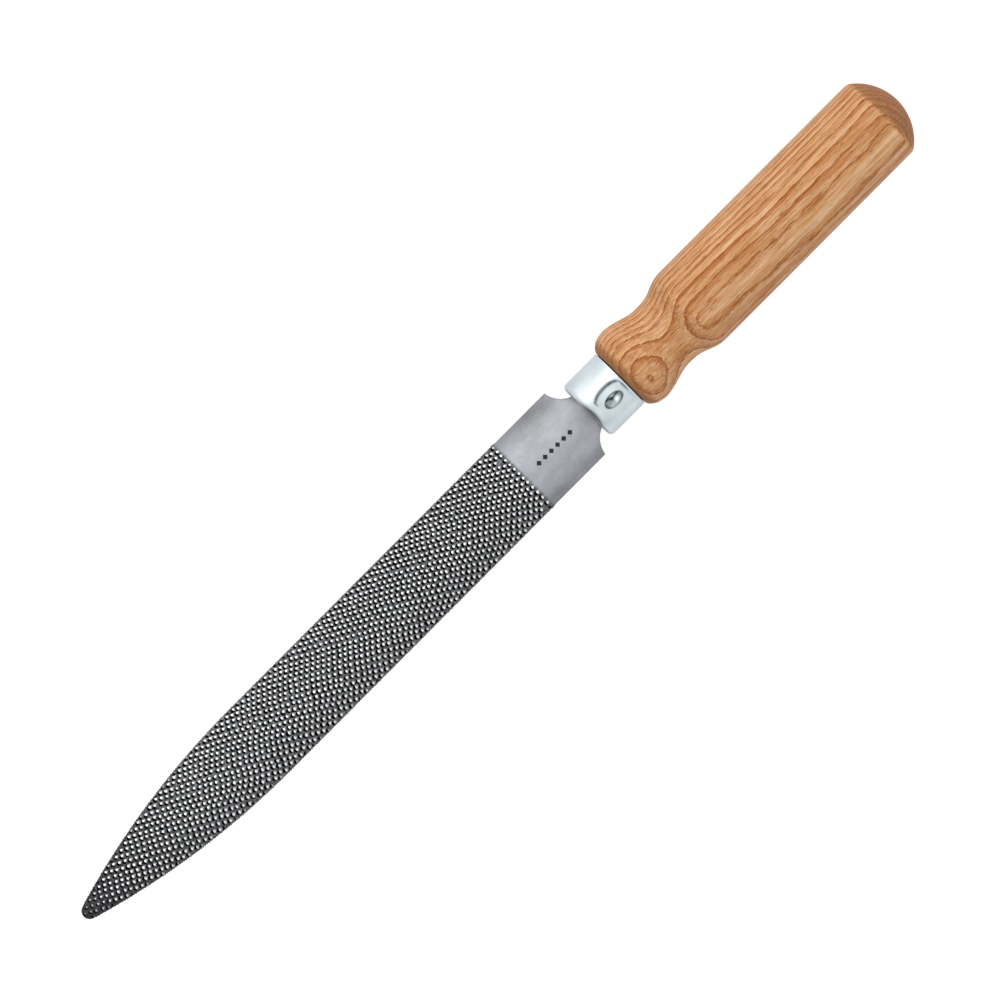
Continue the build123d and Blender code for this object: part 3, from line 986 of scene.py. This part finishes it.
def build_handle(material):
    bm = bmesh.new()
    char = bm.verts.layers.float.new("char")
    n = 144
    phis = [-math.pi + 2 * math.pi * i / n for i in range(n)]

    def ring(f, burnt=0.0):
        out = []
        for p in phis:
            v = bm.verts.new(f(p))
            v[char] = burnt
            out.append(v)
        return out

    def join(a, b):
        for i in range(n):
            j = (i + 1) % n
            bm.faces.new((a[i], a[j], b[j], b[i]))

    rt = FER_R - WALL - 0.03
    x0 = FER0 + WALL + 0.03
    dome_r, fil = 16.4, 3.0
    dome_c = BUTT - dome_r
    fx = dome_c + math.sqrt((dome_r - fil) ** 2 - (GRIP_R - fil) ** 2)
    fy = GRIP_R - fil
    prof = [(FER1 + 0.02, 9.72), (FER1 + 0.10, 9.92)] + catmull(NOSE, 4)[1:]
    k = 34
    prof += [(-37.3 + (fx + 37.3) * i / k, GRIP_R) for i in range(1, k + 1)]
    a_end = math.atan2(fy, fx - dome_c)
    for i in range(1, 6):
        a = math.pi / 2 + (a_end - math.pi / 2) * i / 5
        prof.append((fx + fil * math.cos(a), fy + fil * math.sin(a)))
    for i in range(1, 26):
        a = a_end * (1 - i / 26)
        prof.append((dome_c + dome_r * math.cos(a), dome_r * math.sin(a)))

    def turned(x, r):
        return lambda p: Vector((x, -r * math.sin(p), r * math.cos(p)))

    def tang_at(p, x, grow):
        """The socket wall in this direction."""
        w, h = tang_section(x)
        return Vector((x,) + slot_ray(p, NECK_W * w + grow, 3.5 * h + grow, 0.12))

    # socket, from its closed end to its mouth
    ends = [-20.0, -23.5, -30.0, -38.0, -46.0, -54.0, -62.0, -70.0, TIP + 210.0, -77.5, x0 + 0.9]
    last = None
    for x in ends:
        nxt = ring(lambda p: tang_at(p, x, 0.07), 1.0)
        if last is None:
            bm.faces.new(nxt)
        else:
            join(last, nxt)
        last = nxt
    # front of the tenon, tenon, step up to the nose
    x1 = x0 + 0.9
    nxt = ring(turned(x1, rt - 0.8), 0.25)
    join(last, nxt)
    last = nxt
    for kk in range(1, 4):
        a = math.pi / 2 * kk / 3
        nxt = ring(turned(x1 + 0.8 * (1 - math.cos(a)), rt - 0.8 + 0.8 * math.sin(a)), 0.15)
        join(last, nxt)
        last = nxt
    steps = 40
    for kk in range(1, steps + 1):
        x = x1 + 0.8 + (FER1 - x1 - 0.8) * kk / steps
        nxt = ring(lambda p: round_at(x, p, rt), 0.0 if kk < steps - 1 else 0.9)
        join(last, nxt)
        last = nxt
    for i, (x, r) in enumerate(prof):
        nxt = ring(turned(x, r), 0.55 if i == 0 else 0.12 if i == 1 else 0.0)
        join(last, nxt)
        last = nxt
    pole = bm.verts.new((BUTT, 0, 0))
    for i in range(n):
        bm.faces.new((last[i], last[(i + 1) % n], pole))
    return new_object("handle_ash", bm, material, "handle_body", 40.0)


steel, zinc, wood = steel_material(), zinc_material(), wood_material()
blade = build_blade(steel)
ferrule = build_ferrule(zinc)
handle = build_handle(wood)
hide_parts("rasp_blade")
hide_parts("ferrule")
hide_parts("handle")
for ob in (blade, ferrule, handle):
    me = ob.data
    tris = sum(len(p.vertices) - 2 for p in me.polygons)
    bm = bmesh.new()
    bm.from_mesh(me)
    loose = [e for e in bm.edges if len(e.link_faces) != 2]
    print(ob.name, "triangles", tris, "open or crowded edges", len(loose))
    bm.free()


# ------------------------------------------------------------------ the studio
def white_floor():
    me = bpy.data.meshes.new("floor")
    bm = bmesh.new()
    z = -(GRIP_R + 0.05) / 1000
    s = 12.0
    grid = [[bm.verts.new((-s + 2 * s * i / 8, -s + 2 * s * j / 8, z)) for j in range(9)] for i in range(9)]
    for i in range(8):
        for j in range(8):
            bm.faces.new((grid[i][j], grid[i + 1][j], grid[i + 1][j + 1], grid[i][j + 1]))
    bm.to_mesh(me)
    bm.free()
    m = Nodes("studio_floor")
    # bright to the camera, a plain pale grey to everything it lights
    ray = m.add("ShaderNodeLightPath").outputs["Is Camera Ray"]
    diffuse = m.add("ShaderNodeBsdfDiffuse")
    shade = m.mix(ray, (0.84, 0.84, 0.85, 1), (0.27, 0.27, 0.27, 1))
    m.put(diffuse.inputs["Color"], shade)
    glow = m.add("ShaderNodeEmission")
    glow.inputs["Color"].default_value = (1, 1, 1, 1)
    m.put(glow.inputs["Strength"], m.math("MULTIPLY", ray, 0.86))
    add = m.add("ShaderNodeAddShader")
    m.put(add.inputs[0], diffuse.outputs[0])
    m.put(add.inputs[1], glow.outputs[0])
    m.put(m.out.inputs["Surface"], add.outputs[0])
    me.materials.append(m.mat)
    ob = bpy.data.objects.new("floor", me)
    bpy.context.scene.collection.objects.link(ob)


def softbox(name, at, size_x, size_y, power, colour=(1, 1, 1), target=(-0.12, 0, 0)):
    light = bpy.data.lights.new(name, "AREA")
    light.shape = "RECTANGLE"
    light.size, light.size_y = size_x, size_y
    light.energy = power
    light.color = colour
    ob = bpy.data.objects.new(name, light)
    ob.location = at
    ob.rotation_euler = (Vector(target) - Vector(at)).to_track_quat("-Z", "Y").to_euler()
    bpy.context.scene.collection.objects.link(ob)
    return ob


def light_tent():
    """A white tent: brightest up on the +Y side, falling off softly all round."""
    world = bpy.data.worlds.new("tent")
    bpy.context.scene.world = world
    world.use_nodes = True
    t = world.node_tree
    t.nodes.clear()

    def node(kind, **props):
        n = t.nodes.new(kind)
        for k, v in props.items():
            setattr(n, k, v)
        return n

    def math_node(op, *values):
        n = node("ShaderNodeMath", operation=op)
        for sock, v in zip(n.inputs, values):
            if isinstance(v, bpy.types.NodeSocket):
                t.links.new(v, sock)
            else:
                sock.default_value = v
        return n.outputs[0]

    def lobe(angle, centre, wide, strength):
        q = math_node("MULTIPLY", math_node("SUBTRACT", angle, centre), 1.0 / wide)
        q = math_node("MULTIPLY", math_node("MULTIPLY", q, q), -1.0)
        return math_node("MULTIPLY", math_node("POWER", 2.718, q), strength)

    sep = node("ShaderNodeSeparateXYZ")
    t.links.new(node("ShaderNodeTexCoord").outputs["Generated"], sep.inputs[0])
    dx, dy, dz = sep.outputs
    across = math_node("ARCTAN2", dy, dz)
    along = math_node("ARCTAN2", dx, dz)
    total = math_node("ADD", TENT_BASE, lobe(across, math.radians(33), math.radians(36), TENT_KEY))
    total = math_node("ADD", total, lobe(along, math.radians(48), math.radians(30), TENT_REAR))
    total = math_node("ADD", total, lobe(across, math.radians(-36), math.radians(26), TENT_FILL))
    fall = math_node("SUBTRACT", 1.0, math_node("MULTIPLY", math_node("MULTIPLY", dx, dx), 0.25))
    total = math_node("MULTIPLY", total, fall)
    # a low glow in the far corner, which picks out the shoulders' bevels
    low = node("ShaderNodeVectorMath", operation="DOT_PRODUCT")
    t.links.new(node("ShaderNodeTexCoord").outputs["Generated"], low.inputs[0])
    low.inputs[1].default_value = (0.62, 0.76, 0.19)
    total = math_node("ADD", total, lobe(low.outputs["Value"], 1.0, 0.16, 0.85))
    bg = node("ShaderNodeBackground")
    bg.inputs["Color"].default_value = (0.965, 0.985, 1.0, 1)
    t.links.new(total, bg.inputs["Strength"])
    white = node("ShaderNodeBackground")
    white.inputs["Color"].default_value = (1, 1, 1, 1)
    mix = node("ShaderNodeMixShader")
    t.links.new(node("ShaderNodeLightPath").outputs["Is Camera Ray"], mix.inputs[0])
    t.links.new(bg.outputs[0], mix.inputs[1])
    t.links.new(white.outputs[0], mix.inputs[2])
    t.links.new(mix.outputs[0], node("ShaderNodeOutputWorld").inputs["Surface"])


TENT_BASE, TENT_KEY, TENT_REAR, TENT_FILL = 0.75, 0.42, 0.12, 0.25


def studio():
    white_floor()
    light_tent()
    # one broad box over the +Y shoulder gives the form a direction
    softbox("key", (-0.05, 0.75, 1.05), 1.4, 0.9, 2.2)


def camera():
    cam = bpy.data.cameras.new("camera")
    cam.lens, cam.sensor_width = 300.0, 36.0
    ob = bpy.data.objects.new("camera", cam)
    wide = 0.28713
    high = wide * cam.lens / cam.sensor_width
    ob.location = (-0.11578, -0.00021, high)
    ob.rotation_euler = (0.0, 0.0, math.radians(-45.11))
    cam.clip_start, cam.clip_end = 0.1, 60.0
    bpy.context.scene.collection.objects.link(ob)
    bpy.context.scene.camera = ob


studio()
camera()
scene = bpy.context.scene
scene.view_settings.view_transform = "Standard"
scene.view_settings.look = "None"
scene.view_settings.exposure = 0.0
